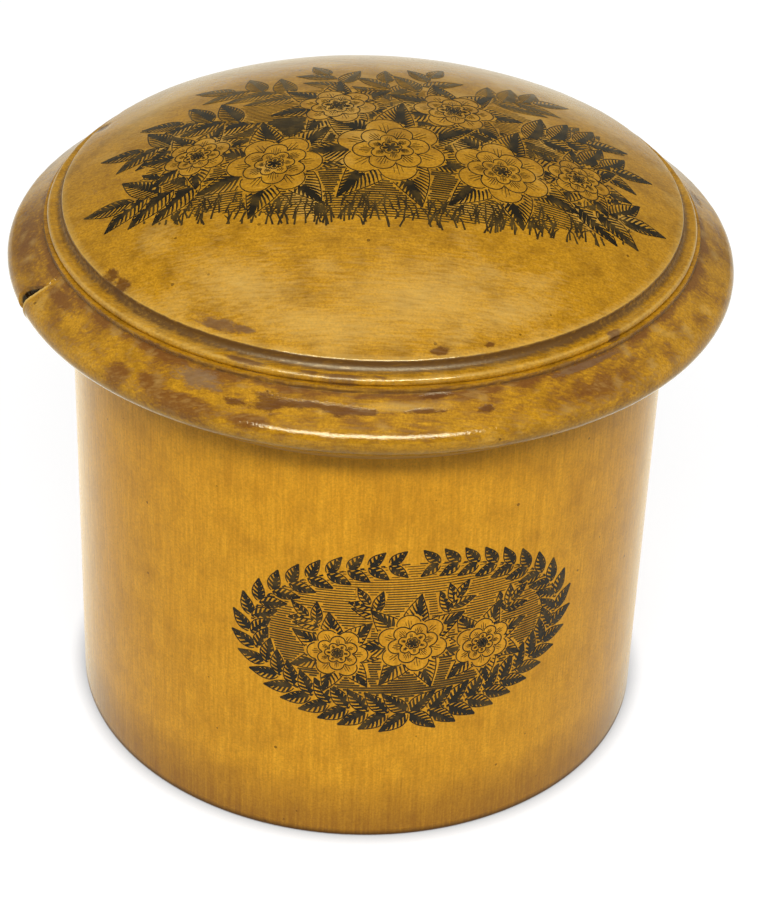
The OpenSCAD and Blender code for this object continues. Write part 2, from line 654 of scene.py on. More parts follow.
@dataclass(frozen=True)
class Leaf:
    """A pointed leaf: where it springs from, its direction in radians, and its size."""

    foot: Point
    heading: float
    length: float
    width: float
    bend: float = 0.12
    rim: ClassVar[float] = 0.13
    vein_gap: ClassVar[float] = 0.62

    def half_width(self, share: float) -> float:
        """Half the leaf's width, at a share of its length."""
        return self.width / 2 * math.sin(math.pi * min(share, 1.0) ** 0.75)

    def place(self, share: float, off: float) -> Point:
        """A point on the leaf.

        Args:
            share: how far along the leaf's length.
            off: distance to the left of its rib.

        Returns:
            The point.
        """
        ca, sa = math.cos(self.heading), math.sin(self.heading)
        run = share * self.length
        off += self.bend * run * (1 - share)
        return (self.foot[0] + run * ca - off * sa, self.foot[1] + run * sa + off * ca)

    def covers(self, x: float, y: float, margin: float) -> bool:
        """Whether a point lies on the leaf.

        Args:
            x: the point's first coordinate.
            y: its second coordinate.
            margin: width beside the leaf that counts too.

        Returns:
            True if the leaf covers it.
        """
        dx, dy = x - self.foot[0], y - self.foot[1]
        if dx * dx + dy * dy > self.length * self.length:
            return False
        ca, sa = math.cos(self.heading), math.sin(self.heading)
        run = dx * ca + dy * sa
        share = run / self.length
        off = dy * ca - dx * sa - self.bend * run * (1 - share)
        return 0 <= share <= 1 and abs(off) < self.half_width(share) + margin

    def draw(self, pen: Pen, dark: float, pale: float) -> None:
        """Draw the leaf with its rim, its rib and the veins that shade its two halves.

        Args:
            pen: the pen that draws.
            dark: share of ink on the shaded half.
            pale: share of ink on the lit half.
        """
        count = max(round(self.length / self.vein_gap), 5)
        pitch = self.length / count
        shares = [i / 10 for i in range(11)]
        for side, ink in ((-1, dark), (1, pale)):
            pen.stroke([self.place(s, side * self.half_width(s)) for s in shares], [self.rim] * 11)
            for i in range(1, count):
                near, far = i / count, min(i / count + 0.17, 1.0)
                half = side * self.half_width(far)
                pen.stroke(
                    [self.place(near, 0), self.place((near + far) / 2, 0.55 * half),
                     self.place(far, 0.97 * half)],
                    [pitch * ink, pitch * ink, 0.4 * pitch * ink],
                )
        pen.stroke([self.place(s, 0) for s in shares], [0.24 - 0.15 * s for s in shares])
        pen.fronts.append(self)


@dataclass(frozen=True)
class Flower:
    """An open flower: its middle, the reach of its petals, their first direction and number."""

    centre: Point
    size: float
    start: float = 0.2
    petals: int = 6

    def reach(self, turn: float) -> float:
        """How far the flower reaches in a direction."""
        return self.size * (0.6 + 0.4 * math.sqrt(abs(math.cos((turn - self.start) * self.petals / 2))))

    def place(self, turn: float, away: float) -> Point:
        """A point in a direction and at a distance from the middle."""
        return (self.centre[0] + away * math.cos(turn), self.centre[1] + away * math.sin(turn))

    def covers(self, x: float, y: float, margin: float) -> bool:
        """Whether a point lies on the flower.

        Args:
            x: the point's first coordinate.
            y: its second coordinate.
            margin: width round the petals that counts too.

        Returns:
            True if the flower covers it.
        """
        dx, dy = x - self.centre[0], y - self.centre[1]
        away = math.hypot(dx, dy)
        return away < self.size + margin and away < self.reach(math.atan2(dy, dx)) + margin

    def draw(self, pen: Pen) -> None:
        """Draw the middle, then rings of petals that lie one behind another.

        Args:
            pen: the pen that draws.
        """
        gap = math.pi / self.petals
        for share, turn in ((0.2, 0.0), (0.42, gap), (0.7, 0.0), (1.0, gap)):
            ring = Flower(self.centre, share * self.size, self.start + turn, self.petals)
            turns = [FULL_TURN * i / 72 for i in range(73)]
            pen.stroke([ring.place(t, ring.reach(t)) for t in turns], [0.14] * 73)
            for petal in range(self.petals):
                for lean in (-0.62, -0.4, -0.2, 0.0, 0.2, 0.4, 0.62):
                    t = ring.start + gap * (2 * petal + lean)
                    far = ring.size * (0.84 - 0.3 * abs(lean))
                    pen.stroke([ring.place(t, 0), ring.place(t, far)], [0.2, 0.05])
            pen.fronts.append(ring)

    def collar(self, count: int, stretch: float) -> list[Leaf]:
        """Leaves that spread from behind the flower.

        Args:
            count: number of leaves.
            stretch: their length, in sizes of the flower.

        Returns:
            The leaves, in order round the flower.
        """
        return [
            Leaf(self.centre, self.start + FULL_TURN * (i + 0.4) / count, stretch * self.size,
                 0.78 * self.size)
            for i in range(count)
        ]


@dataclass(frozen=True)
class Branch:
    """A bent stem with leaves in pairs, and one at its tip."""

    foot: Point
    heading: float
    length: float
    bend: float
    leaf: float
    pairs: int

    def draw(self, pen: Pen, dark: float, pale: float) -> None:
        """Draw the branch from its tip to its foot.

        Args:
            pen: the pen that draws.
            dark: share of ink on the shaded half of a leaf.
            pale: share of ink on the lit half.
        """
        steps = 2 * self.pairs
        stem, turns = [self.foot], []
        for i in range(steps):
            turns.append(math.radians(self.heading + self.bend * i / steps))
            x, y = stem[-1]
            gap = self.length / steps
            stem.append((x + gap * math.cos(turns[-1]), y + gap * math.sin(turns[-1])))
        Leaf(stem[-1], turns[-1], self.leaf, 0.42 * self.leaf).draw(pen, dark, pale)
        for i in range(steps - 1, 0, -1):
            side = 1 if i % 2 else -1
            size = self.leaf * (1.35 - 0.35 * i / steps)
            Leaf(stem[i], turns[i] + side * 0.75, size, 0.42 * size, -0.12 * side).draw(pen, dark, pale)
        pen.stroke(stem, [0.34 - 0.2 * i / steps for i in range(steps + 1)])


@dataclass(frozen=True)
class RuledGround:
    """An oval of fine ruled lines, whose ink is a share at its middle and another at its foot."""

    centre: Point
    half_width: float
    half_height: float
    pitch: float
    middle: float
    foot: float
    fade: float

    def draw(self, pen: Pen) -> None:
        """Rule the oval behind all that is drawn.

        Args:
            pen: the pen that draws.
        """
        rows = int(self.half_height / self.pitch)
        for row in range(-rows, rows + 1):
            v = row / rows
            reach = math.sqrt(1 - v * v)
            shares = [reach * (2 * i / 24 - 1) for i in range(25)]
            ink = [
                (self.middle + (self.middle - self.foot) * v) * (1 - self.fade * (u * u + v * v))
                for u in shares
            ]
            pen.stroke(
                [(self.centre[0] + u * self.half_width, self.centre[1] + v * self.half_height)
                 for u in shares],
                [max(self.pitch * share, 0.02) for share in ink],
            )


@dataclass
class LidSpray:
    """Spray of flowers and leafy branches for the top of the lid, drawn as fine black print."""

    flowers: tuple[Flower, ...] = (
        Flower((2.0, -6.5), 7.0), Flower((-12.5, -9.5), 6.0, 0.5), Flower((16.0, -8.5), 6.2, 0.1),
        Flower((-5.0, 4.5), 5.0, 0.3), Flower((10.0, 5.0), 5.2, 0.6),
        Flower((-22.5, -5.0), 4.2, 0.8), Flower((26.0, -5.5), 4.0, 0.4),
    )
    front: tuple[Branch, ...] = (
        Branch((-20, -11), 186, 10, -8, 6.4, 3), Branch((22, -11), -4, 9, 10, 6.2, 3),
        Branch((-22, -2), 160, 8, 14, 5.8, 2), Branch((25, -2), 24, 6, -14, 5.6, 2),
        Branch((-14, 0), 150, 12, 14, 6.0, 3), Branch((18, 0), 34, 11, -14, 6.0, 3),
    )
    back: tuple[Branch, ...] = (
        Branch((-8, 6), 138, 13, 20, 6.0, 3), Branch((-3, 8), 108, 9, 10, 5.4, 2),
        Branch((5, 8), 78, 9, -6, 5.4, 2), Branch((13, 8), 46, 10, -18, 5.8, 3),
        Branch((2, 4), 94, 9, 0, 5.6, 2), Branch((-17, 3), 160, 9, 12, 5.2, 2),
        Branch((22, 4), 18, 6, -10, 5.0, 2),
    )
    grounds: tuple[RuledGround, ...] = (
        RuledGround((1.0, -9.0), 31.0, 11.5, 0.42, 0.8, 0.66, 0.55),
        RuledGround((2.0, 1.0), 23.0, 10.0, 0.42, 0.5, 0.75, 0.6),
    )
    grass_seed: int = 5
    blades: int = 330
    grass_half_width: float = 31.0
    grass_foot: float = -21.5
    grass_rise: float = 5.5

    def draw(self) -> Pen:
        """Draw the whole spray, from the front to the back.

        Returns:
            The pen that holds the drawing, in millimetres as seen from above.
        """
        pen = Pen()
        for flower in self.flowers:
            flower.draw(pen)
        for flower in self.flowers:
            for leaf in flower.collar(7, 1.75):
                leaf.draw(pen, 0.8, 0.46)
        for branch in self.front:
            branch.draw(pen, 0.76, 0.4)
        pen.tone = 0.25
        for branch in self.back:
            branch.draw(pen, 0.66, 0.34)
        pen.tone = 0.08
        self.grass(pen)
        for ground in self.grounds:
            ground.draw(pen)
        return pen

    def grass(self, pen: Pen) -> None:
        """Draw short bent blades along the foot of the spray.

        Args:
            pen: the pen that draws.
        """
        dice = random.Random(self.grass_seed)
        for _ in range(self.blades):
            u = dice.uniform(-1, 1)
            x = 1 + self.grass_half_width * u
            y = self.grass_foot + self.grass_rise * u * u + dice.uniform(-0.6, 3.5)
            lean, tall = dice.uniform(-0.8, 0.8), dice.uniform(1.6, 3.4)
            pen.stroke(
                [(x, y), (x + 0.3 * lean * tall, y + 0.6 * tall), (x + lean * tall, y + tall)],
                [0.26, 0.2, 0.05],
            )


@dataclass
class FrontOval:
    """Oval of flowers inside a leafy wreath for the front of the jar, drawn as fine black print."""

    half_width: float = 20.9
    half_height: float = 12.0
    spacing: float = 2.6
    flowers: tuple[Flower, ...] = (
        Flower((0.2, -0.6), 4.6), Flower((-9.4, -2.2), 3.9, 0.5), Flower((9.6, -2.3), 3.9, 0.0),
    )
    sprigs: tuple[Branch, ...] = (
        Branch((-4, 3), 112, 3.2, 14, 3.0, 2), Branch((4.4, 3), 70, 3.2, -14, 3.0, 2),
        Branch((-11, 1), 128, 3.2, 14, 3.0, 2), Branch((11.4, 1), 54, 3.2, -14, 3.0, 2),
    )

    def draw(self) -> Pen:
        """Draw the whole oval, from the front to the back.

        Returns:
            The pen that holds the drawing, in millimetres on the unrolled wall.
        """
        pen = Pen()
        for flower in self.flowers:
            flower.draw(pen)
        for flower in self.flowers:
            for leaf in flower.collar(7, 1.7):
                leaf.draw(pen, 0.74, 0.4)
        for sprig in self.sprigs:
            sprig.draw(pen, 0.7, 0.36)
        self.wreath(pen)
        pen.tone = 0.12
        RuledGround((0.0, 0.0), self.half_width, self.half_height, 0.38, 0.5, 0.82, 0.0).draw(pen)
        return pen

    def wreath(self, pen: Pen) -> None:
        """Draw two leafy branches that rise from the foot of the oval and meet on top.

        Args:
            pen: the pen that draws.
        """
        for side in (-1, 1):
            turn, path = -math.pi / 2, []
            while turn < 0.5 * math.pi:
                across, up = self.half_width * math.cos(turn), self.half_height * math.sin(turn)
                path.append((side * across, up))
                speed = math.hypot(self.half_width * math.sin(turn), self.half_height * math.cos(turn))
                turn += self.spacing / speed
            last = len(path) - 1
            for i in range(last):
                (x0, y0), (x1, y1) = path[i], path[i + 1]
                size = 4.8 - 1.8 * i / last
                for lean in (-0.72, 0.72):
                    heading = math.atan2(y1 - y0, x1 - x0) + lean
                    Leaf((x0, y0), heading, size, 0.46 * size).draw(pen, 0.85, 0.5)
            pen.stroke(path, [0.45 - 0.3 * i / last for i in range(last + 1)])


@dataclass
class Jar:
    """The jar: its turned wall, the base disc let into its foot, and the print on its front."""

    mouth_r: float = 35.0
    rebate_r: float = 36.6
    base_r: float = 36.55
    soft_r: float = 0.4
    base_bevel: float = 0.5
    steps: int = 400
    print_azimuth: float = -80.0
    print_height: float = 33.3
    print_lift: float = 0.03
    contact_shade_top: float = 1.0
    contact_shade_full: float = 0.3
    shade_top: float = 21.0
    shade: float = 0.52
    finish: VarnishedSycamore = VarnishedSycamore(
        "sycamore_turned_upright_varnished", Grain.UPRIGHT, "EDAB28", "C98916", "88540C",
        streakiness=0.75, fleckiness=0.25, grittiness=0.45, blotchiness=0.35, raggedness=0.3,
    )
    base_finish: VarnishedSycamore = VarnishedSycamore(
        "sycamore_turned_across_rubbed", Grain.ACROSS, "C99A50", "B5833C", "8E6230",
        gloss_roughness=0.42,
    )
    outer_r: float = field(init=False)
    height: float = field(init=False)
    base_low: float = field(init=False)
    base_high: float = field(init=False)

    def __post_init__(self) -> None:
        """Take the jar's main sizes from the frame."""
        low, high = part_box("jar_wall")
        self.outer_r = (high.x - low.x) / 2 / MM
        self.height = high.z / MM
        low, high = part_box("jar_base")
        self.base_low, self.base_high = low.z / MM, high.z / MM

    def build(self) -> list[Piece]:
        """Make and dress every piece of the jar.

        Returns:
            The pieces, riding on the jar's body.
        """
        return [self.wall(), self.base(), self.front_print()]

    def wall(self) -> Piece:
        """Turn the wall.

        Returns:
            The wall, in place of its solid.
        """
        r = self.soft_r
        profile = arc((self.outer_r - r, r), r, -90, 0, 8)
        profile += chain(profile[-1], (self.outer_r, self.height - r, 60))
        profile += arc((self.outer_r - r, self.height - r), r, 0, 90, 6)[1:]
        profile += chain(profile[-1], (self.mouth_r + r, self.height, 4))
        profile += arc((self.mouth_r + r, self.height - r), r, 90, 180, 6)[1:]
        profile += chain(
            profile[-1], (self.mouth_r, self.base_high, 30), (self.rebate_r, self.base_high, 2),
            (self.rebate_r, 0, 4),
        )
        piece = turn_on_lathe("jar_wall_turned", profile, self.steps, closed=True)
        places = vertex_values(piece, "co") / MM
        heights = places[:, 2]
        outside = np.hypot(places[:, 0], places[:, 1]) > self.mouth_r + 2
        # A painted shade line round the foot, where the wall meets the floor
        put_attribute(piece, "grime_and_shade", ramp(-heights, -self.contact_shade_top, -self.contact_shade_full) * outside)
        # The wall browns toward the foot, partly staining and partly painted shade
        put_attribute(piece, "stain_and_shade", self.shade * ramp(-heights, -self.shade_top, 1) * outside)
        smooth(piece)
        piece.data.materials.append(self.finish.material())
        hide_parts("jar_wall")
        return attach(piece, "jar")

    def base(self) -> Piece:
        """Turn the base disc.

        Returns:
            The disc, in place of its solid.
        """
        middle = (0, self.base_low)
        profile = [middle] + chain(
            middle, (self.base_r - self.base_bevel, self.base_low, 30),
            (self.base_r, self.base_low + self.base_bevel, 3),
            (self.base_r, self.base_high, 4), (0, self.base_high, 30),
        )
        piece = turn_on_lathe("jar_base_turned", profile, self.steps, closed=False)
        smooth(piece)
        piece.data.materials.append(self.base_finish.material())
        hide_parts("jar_base")
        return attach(piece, "jar")

    def front_print(self) -> Piece:
        """Lay the print on the front of the wall.

        Returns:
            The film of ink.
        """
        film_r = self.outer_r + self.print_lift

        def wrap(point: Point) -> Vector:
            """Roll a point of the drawing round the wall."""
            turn = math.radians(self.print_azimuth) + point[0] / self.outer_r
            height = self.print_height + point[1]
            return Vector((film_r * math.cos(turn), film_r * math.sin(turn), height))

        piece = FrontOval().draw().lay("front_print", wrap, 2 * self.print_lift)
        piece.data.materials.append(PrintersInk().material())
        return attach(piece, "jar")


@dataclass(frozen=True)
class Patch:
    """A patch of wear on the lid.

    Its place is an angle in degrees from +X and a radius, and its half sizes run along and across
    the turning. All but the angle are in millimetres. Dust is how grey the patch is and weight how
    strong, both from 0 to 1.
    """

    azimuth: float
    radius: float
    along: float
    across: float
    depth: float = 0.03
    dust: float = 0.05
    weight: float = 1.0


class LidSkin:
    """Where each vertex of the turned lid lies: its radius, its height over the seat, its angle."""

    def __init__(self, piece: Piece, seat: float, nose: float) -> None:
        """Measure the vertices.

        Args:
            piece: the turned lid.
            seat: height of the lid's seat in millimetres.
            nose: height of the flange's nose over the seat.
        """
        self.places = vertex_values(piece, "co") / MM
        self.normals = vertex_values(piece, "normal")
        self.radius = np.hypot(self.places[:, 0], self.places[:, 1])
        self.height = self.places[:, 2] - seat
        self.azimuth = np.degrees(np.arctan2(self.places[:, 1], self.places[:, 0]))
        self.top = ramp(self.height, nose - 1, nose)

    def ring(self, radius: float, height: float, spread: float) -> np.ndarray:
        """Nearness of each vertex to a ring on the lid, from 0 to 1."""
        return np.exp(-(np.hypot(self.radius - radius, self.height - height) / spread) ** 2)

    def near(self, patch: Patch) -> np.ndarray:
        """Nearness of each vertex to a patch on the upper side.

        Args:
            patch: the patch of wear.

        Returns:
            1 in the patch's middle, a half at its edge and 0 well outside it.
        """
        turn = np.radians((self.azimuth - patch.azimuth + 180) % 360 - 180)
        away = np.hypot(turn * patch.radius / patch.along, (self.radius - patch.radius) / patch.across)
        return self.top * np.clip(1 - away / 2, 0, 1)


@dataclass
class Lid:
    """The lid: one turned piece with dome, moulding, flange and plug, and the print on top."""

    dome_r: float = 40.3
    dome_rise: float = 10.65
    dome_edge_r: float = 0.4
    crown_t: float = 6.5
    cove_r: float = 1.05
    cove_sink: float = 0.05
    bead_r: float = 0.6
    bead_outer_r: float = 42.2
    bead_z: float = 12.0
    fillet_r: float = 42.65
    fillet_z: float = 11.55
    flange_z: float = 10.9
    nose_r: float = 2.0
    nose_z: float = 6.4
    seat_r: float = 40.4
    plug_r: float = 34.88
    plug_t: float = 3.0
    plug_bevel: float = 0.8
    steps: int = 480
    print_lift: float = 0.02
    split_inner: Point = (43.3, -155.0)
    split_outer: Point = (47.5, -156.3)
    split_reach: float = 3.8
    split_cuts: int = 3
    crack_width: float = 0.14
    crack_depth: float = 0.3
    sliver_width: float = 1.9
    sliver_depth: float = 0.7
    lip_rise: float = 0.1
    finish: VarnishedSycamore = VarnishedSycamore(
        "sycamore_turned_across_varnished", Grain.ACROSS, "C8911C", "986608", "66400A",
        blotch_mm=3.4, streakiness=0.45, grittiness=0.62, blotchiness=0.55, ripple=0.6,
        gloss_roughness=0.09, ior=1.45,
    )
    flakes: tuple[Patch, ...] = (
        Patch(-104.8, 44.7, 2.4, 1.15, weight=0.95), Patch(-98.0, 44.2, 2.4, 0.4),
        Patch(-94.0, 44.5, 2.6, 0.66), Patch(-89.8, 44.6, 1.2, 0.34), Patch(-80.7, 44.55, 2.5, 0.34),
        Patch(-71.5, 44.9, 1.1, 0.5), Patch(-101.0, 44.4, 1.5, 0.55, weight=0.9),
        Patch(-117.3, 44.0, 3.6, 1.1, 0.03, 0.9, 0.86), Patch(-110.0, 45.3, 1.5, 0.45),
        Patch(-110.5, 41.6, 2.8, 0.5, 0.03, 0.6), Patch(-94.5, 41.8, 5.8, 0.6, 0.03, 0.4, 0.85),
        Patch(-52.0, 43.1, 6.0, 0.34, 0.03, 0.7), Patch(-45.0, 41.9, 0.9, 0.5, 0.12, 0.6),
        Patch(-143.5, 39.6, 1.3, 0.9, 0.16), Patch(-140.0, 39.7, 1.4, 0.8, 0.16),
        Patch(-117.5, 38.9, 3.2, 0.8, 0.12, 0.6), Patch(-112.6, 38.6, 1.8, 0.4, 0.12, 0.6),
        Patch(-79.0, 43.05, 2.4, 0.3, 0.03, 0.0),
        Patch(-77.5, 39.3, 1.5, 0.6, 0.16), Patch(-68.5, 39.3, 0.7, 0.35, 0.1),
        Patch(36, 45.0, 3.4, 0.8), Patch(78, 39.5, 2.4, 0.8, 0.14), Patch(158, 39.5, 1.4, 0.7, 0.14),
        Patch(120, 44.6, 4.0, 0.7), Patch(100, 41.8, 4.0, 0.5, 0.03, 0.6), Patch(12, 44.0, 2.2, 0.6),
    )
    stains: tuple[Patch, ...] = (
        Patch(-118.5, 46.8, 4.6, 0.8), Patch(-124.0, 46.0, 1.8, 1.0), Patch(-130.0, 46.6, 1.6, 0.9),
        Patch(-150.0, 44.2, 3.0, 0.7), Patch(-107.0, 46.8, 2.6, 0.5), Patch(60, 46.4, 4.0, 0.8),
        Patch(140, 45.6, 4.0, 1.0), Patch(-52, 45.6, 8.0, 1.8, weight=0.7),
        Patch(-172, 45.0, 11.0, 2.6, weight=0.7), Patch(-170, 35.0, 9.0, 4.0, weight=0.3),
    )
    rubbed: tuple[Patch, ...] = (
        Patch(-79, 32.5, 8.0, 3.6), Patch(-118, 33.5, 6.0, 2.6), Patch(-98, 36.5, 9.0, 1.8),
        Patch(-62, 36.0, 5.0, 1.6), Patch(-84.0, 44.0, 3.6, 0.4), Patch(40, 33.0, 8.0, 3.0),
        Patch(150, 33.0, 8.0, 3.0),
    )
    outer_r: float = field(init=False)
    seat: float = field(init=False)
    low: float = field(init=False)
    crown: float = field(init=False)

    def __post_init__(self) -> None:
        """Take the lid's main sizes from the frame."""
        low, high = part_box("lid")
        self.outer_r = (high.x - low.x) / 2 / MM
        self.low, self.crown = low.z / MM, high.z / MM
        self.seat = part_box("jar_wall")[1].z / MM

    @property
    def sphere_r(self) -> float:
        """Radius of the sphere that the dome is part of."""
        return (self.dome_r ** 2 + self.dome_rise ** 2) / (2 * self.dome_rise)

    @property
    def sphere_z(self) -> float:
        """Height of that sphere's centre."""
        return self.crown - self.sphere_r

    def build(self) -> list[Piece]:
        """Make and dress every piece of the lid.

        Returns:
            The pieces, riding on the lid's body.
        """
        return [self.turned(), self.top_print()]

    def nose_slope(self, radius: float, height: float, side: int) -> float:
        """Slope of a straight line that runs into the nose.

        Args:
            radius: radius that the line leaves from.
            height: height above the seat that it leaves from.
            side: 1 for a line over the nose, -1 for one under it.

        Returns:
            The slope in degrees.
        """
        run, fall = self.outer_r - self.nose_r - radius, side * (height - self.nose_z)
        return math.degrees(math.atan2(fall, run) - math.asin(self.nose_r / math.hypot(run, fall)))

    def profile(self) -> list[Point]:
        """Half section of the lid, from the crown down the outside and back up inside.

        Returns:
            Radius and height of each point, in millimetres.
        """
        inner_r = self.sphere_r - self.dome_edge_r
        edge_x = self.dome_r - self.dome_edge_r
        edge_tilt = math.degrees(math.acos(edge_x / inner_r))
        edge_z = self.sphere_z + inner_r * math.sin(math.radians(edge_tilt))
        bead = (self.bead_outer_r - self.bead_r, self.seat + self.bead_z)
        bead_end = math.degrees(math.asin((self.fillet_z - self.bead_z) / self.bead_r))
        cove = (self.dome_r + self.cove_r, bead[1] + self.bead_r + self.cove_r - self.cove_sink)
        nose = (self.outer_r - self.nose_r, self.seat + self.nose_z)
        over = self.nose_slope(self.fillet_r, self.flange_z, 1)
        under = self.nose_slope(self.seat_r, 0.0, -1)
        nose_arc = arc(nose, self.nose_r, 90 - over, under - 90, 18)
        hollow_r = self.plug_r - self.plug_t
        hollow_sphere = self.sphere_r - self.crown_t
        hollow_tilt = math.degrees(math.acos(hollow_r / hollow_sphere))

        points = arc((0, self.sphere_z), self.sphere_r, 90, edge_tilt, 48)
        points[0] = (0, self.crown)
        points += arc((edge_x, edge_z), self.dome_edge_r, edge_tilt, 0, 6)[1:]
        points += arc(cove, self.cove_r, 180, 264, 10)
        points += arc(bead, self.bead_r, 98, bead_end, 12)
        points += chain(
            points[-1], (self.fillet_r, self.seat + self.fillet_z, 3),
            (self.fillet_r, self.seat + self.flange_z, 3), (*nose_arc[0], 18),
        ) + nose_arc[1:]
        hollow = arc((0, self.sphere_z), hollow_sphere, hollow_tilt, 90, 20)
        hollow[-1] = (0, hollow[-1][1])
        points += chain(
            points[-1], (self.seat_r, self.seat, 8), (self.plug_r, self.seat, 4),
            (self.plug_r, self.low + self.plug_bevel, 4), (self.plug_r - self.plug_bevel, self.low, 2),
            (hollow_r, self.low, 3), (*hollow[0], 10),
        )
        return points + hollow[1:]

    def turned(self) -> Piece:
        """Turn the lid, split and wear its edges, and dress it.

        Returns:
            The lid, in place of its solid.
        """
        piece = turn_on_lathe("lid_turned", self.profile(), self.steps, closed=False)
        self.cut_finer(piece)
        self.wear(piece)
        smooth(piece)
        piece.data.materials.append(self.finish.material())
        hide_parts("lid")
        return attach(piece, "lid")

    def cut_finer(self, piece: Piece) -> None:
        """Subdivide the part of the flange that is split.

        Args:
            piece: the turned lid.
        """
        select_only(piece)
        bpy.ops.object.mode_set(mode="EDIT")
        bpy.ops.mesh.select_mode(type="FACE")
        bpy.ops.mesh.select_all(action="DESELECT")
        bpy.ops.object.mode_set(mode="OBJECT")
        middle = (self.split_inner[1] + self.split_outer[1]) / 2
        for face in piece.data.polygons:
            x, y, z = face.center / MM
            off = abs(math.degrees(math.atan2(y, x)) - middle)
            on_flange = math.hypot(x, y) > self.fillet_r + 0.15 and z > self.seat + self.nose_z - 1.4
            face.select = off < self.split_reach and on_flange
        bpy.ops.object.mode_set(mode="EDIT")
        bpy.ops.mesh.subdivide(number_cuts=self.split_cuts)
        bpy.ops.object.mode_set(mode="OBJECT")

    def wear(self, piece: Piece) -> None:
        """Dent and split the edges, and mark where it is dirty, where shade and highlights are painted and
        where varnish is lost.

        Args:
            piece: the turned lid.
        """
        skin = LidSkin(piece, self.seat, self.nose_z)
        flange = ramp(skin.height, 0.1, 0.8) * (skin.radius > self.plug_r + 1)
        dome = ramp(skin.height, 11, 12) * (skin.normals[:, 2] > 0.2)
        outside = np.maximum(flange, dome)
        crests = np.maximum(
            skin.ring(self.dome_r - 0.12, self.bead_z + 2.0, 0.2),
            skin.ring(self.bead_outer_r - 0.2, self.bead_z + 0.4, 0.22),
        )
        nose = skin.ring(self.outer_r - 0.7, self.nose_z + 1.5, 0.8)
        stain_and_shade, pale = self.shades(skin, dome, crests, nose)
        bare, dust, chips = self.flaking(skin)
        hole, lip, rise = self.splitting(skin)

        dents = 0.03 * np.maximum(crests, nose) * rumple(skin.places, 1.4, 4.1)
        lift = 0.02 * rumple(skin.places, 5.0, 1.7) + dents - chips + rise
        moved = skin.places + skin.normals * (lift * outside)[:, None]
        piece.data.vertices.foreach_set("co", (moved * MM).ravel())
        piece.data.update()
        for name, values in (
            ("stain_and_shade", stain_and_shade), ("pale", np.maximum(pale, lip)), ("bare", bare * (1 - hole)),
            ("dust", dust), ("grime_and_shade", self.dirt_and_shade(skin)), ("split", hole),
        ):
            put_attribute(piece, name, values * outside)
        put_attribute(piece, "raw", np.maximum(1 - outside, ramp(-skin.height, -4.6, -3.6)))

    def dirt_and_shade(self, skin: LidSkin) -> np.ndarray:
        """Dirt in the cove, thickest at the front, and painted shade in the creases under the bead and the
        fillet.

        Args:
            skin: the lid's surface.

        Returns:
            One number from 0 to about 1 for each vertex.
        """
        cove = ramp(skin.radius, self.dome_r - 0.15, self.dome_r)
        cove *= ramp(-skin.radius, 0.5 - self.bead_outer_r, -0.1 - self.dome_r)
        cove *= 0.85 + 0.17 * ramp(-skin.places[:, 1], 20, 36)
        # Painted shade in the creases under the bead and at the foot of the fillet
        fillet = 0.75 * skin.ring(self.fillet_r, self.flange_z + 0.1, 0.36)
        bead = 0.55 * skin.ring(self.bead_outer_r - 0.2, self.fillet_z, 0.2)
        return np.maximum.reduce([cove, fillet, bead])

    def shades(
        self, skin: LidSkin, dome: np.ndarray, crests: np.ndarray, nose: np.ndarray
    ) -> tuple[np.ndarray, np.ndarray]:
        """Browner varnish, mostly on the flange, with a painted shadow just outside the fillet, and places
        that are rubbed pale, with a painted highlight on the crests and the nose.

        Args:
            skin: the lid's surface.
            dome: 1 on the dome and its moulding.
            crests: nearness to the crests of the dome's edge and the bead.
            nose: nearness to the flange's nose.

        Returns:
            How brown and how pale each vertex is.
        """
        flange = ramp(skin.radius, self.bead_outer_r, self.fillet_r + 0.35)
        flange *= 0.6 + 0.4 * ramp(skin.height, self.nose_z, self.nose_z + 1.8)
        stain_and_shade = (0.32 + 0.34 * rumple(skin.places, 2.8, 2.3)) * flange
        # A painted shadow on the flange just outside the fillet, under the bead
        stain_and_shade += 0.4 * skin.ring(self.fillet_r + 0.3, self.flange_z, 0.8)
        for patch in self.stains:
            stain_and_shade = np.maximum(stain_and_shade, 1.1 * patch.weight * skin.near(patch))
        scuffs = 0.34 * ramp(rumple(skin.places, 2.2, 6.2), 0.1, 0.7) * flange
        scuffs += 0.36 * ramp(rumple(skin.places, 5.0, 9.1), 0.0, 0.6) * dome * (1 - flange)
        # Rubbed crests of the dome's edge and the bead with a painted highlight, and a faint painted
        # highlight on the nose
        pale = np.maximum.reduce([0.5 * crests, 0.12 * nose, scuffs])
        # Rubbed pale patches; those on the front of the dome also paint a soft glow there
        for patch in self.rubbed:
            pale = np.maximum(pale, 0.6 * skin.near(patch))
        return stain_and_shade, pale

    def flaking(self, skin: LidSkin) -> tuple[np.ndarray, np.ndarray, np.ndarray]:
        """Flakes of lost varnish and chips in the edges.

        Args:
            skin: the lid's surface.

        Returns:
            How bare and how dusty each vertex is, and the depth of the chips in millimetres.
        """
        bare, dust, chips = (np.zeros(len(skin.places)) for _ in range(3))
        for patch in self.flakes:
            near = skin.near(patch)
            chips += patch.depth * ramp(near, 0.35, 0.75)
            dust = np.where(patch.weight * near > bare, patch.dust, dust)
            bare = np.maximum(bare, patch.weight * near)
        return bare, dust, chips

